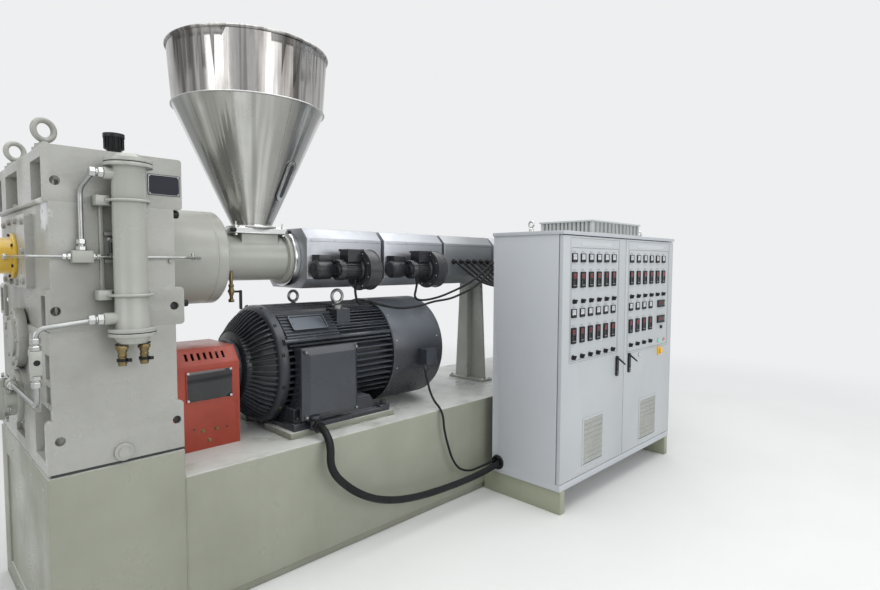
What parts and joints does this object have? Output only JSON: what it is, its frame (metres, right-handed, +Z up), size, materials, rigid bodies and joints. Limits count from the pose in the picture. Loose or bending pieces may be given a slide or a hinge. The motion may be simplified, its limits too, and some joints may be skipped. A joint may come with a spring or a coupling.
{
  "type": "plastic extruder",
  "caption": "Single-screw plastic extruder with gear case, drive motor, polished feed hopper, heated barrel with blowers and a two-door control cabinet.",
  "frame": {"origin": "on the floor, straight under the middle of the feed hopper", "axes": "+X along the screw from the gear case to the outlet, +Z up, control doors face -Y"},
  "size_m": [4.871, 1.685, 2.6426],
  "materials": {
    "machine_paint": "satin enamel, light grey green",
    "cast_paint": "satin enamel over cast iron",
    "cabinet_paint": "fine textured powder coat, light grey",
    "door_paint": "fine textured powder coat, light grey",
    "beam_paint": "satin enamel, grey green",
    "polished_steel": "polished stainless sheet",
    "zinc_steel": "zinc plated sheet",
    "bare_steel": "machined steel",
    "yellow_paint": "gloss enamel, yellow",
    "red_paint": "semi gloss enamel, orange red",
    "motor_paint": "satin enamel, charcoal",
    "blower_paint": "semi gloss enamel, black",
    "black_plastic": "moulded black",
    "smoked_window": "dark acrylic sheet",
    "brass_fitting": "dull brass",
    "cable_rubber": "black cable sheath",
    "glass_pane": "dark glass behind a clear pane"
  },
  "bodies": {
    "frame": {"base_bench": "machine_paint", "gearbox_pedestal": "machine_paint", "cabinet_beams": "beam_paint", "gearbox_lower_case": "cast_paint", "gearbox_upper_case": "cast_paint", "gearbox_top_block": "cast_paint", "bearing_covers": "cast_paint", "screw_end_guard": "yellow_paint", "lifting_eyes": "cast_paint", "filler_cap": "black_plastic", "oil_cooler": "machine_paint", "cooler_brackets": "machine_paint", "hose_tails": "brass_fitting", "oil_lines": "zinc_steel", "oil_blocks": "machine_paint", "oil_pump": "machine_paint", "thrust_housing": "machine_paint", "feed_throat": "machine_paint", "throat_ring": "polished_steel", "gate_frame": "polished_steel", "hopper_cone": "polished_steel", "hopper_cylinder": "polished_steel", "sight_glass": "glass_pane", "barrel": "bare_steel", "outlet_flange": "bare_steel", "barrel_supports": "machine_paint", "zone_covers": "polished_steel", "blowers": "blower_paint", "water_valve": "black_plastic", "drive_coupling": "bare_steel", "coupling_guard": "red_paint", "guard_window": "smoked_window", "motor_body": "motor_paint", "motor_end_bell": "motor_paint", "fan_shroud": "motor_paint", "terminal_box": "motor_paint", "motor_feet": "motor_paint", "motor_rails": "machine_paint", "cabinet_floor": "cabinet_paint", "cabinet_roof": "cabinet_paint", "cabinet_walls": "cabinet_paint", "mounting_plate": "zinc_steel", "roof_vent": "cabinet_paint", "motor_cable": "cable_rubber", "fan_cable": "cable_rubber", "heater_cables": "cable_rubber", "blower_cables": "cable_rubber"},
    "gate": {"gate_plate": "polished_steel"},
    "left_door": {"left_door": "door_paint", "left_instruments": "black_plastic", "left_handle": "black_plastic"},
    "right_door": {"right_door": "door_paint", "right_instruments": "black_plastic", "right_handle": "black_plastic"}
  },
  "joints": [
    {"name": "left_door_hinge", "type": "hinge", "parent": "frame", "child": "left_door", "pos_m": [1.391, -1.089, 0.185], "axis": [0, 0, -1], "range_deg": [0, 110]},
    {"name": "right_door_hinge", "type": "hinge", "parent": "frame", "child": "right_door", "pos_m": [2.977, -1.089, 0.185], "axis": [0, 0, 1], "range_deg": [0, 110]},
    {"name": "gate_slide", "type": "slide", "parent": "frame", "child": "gate", "axis": [0, -1, 0], "range_m": [0, 0.165]}
  ]
}
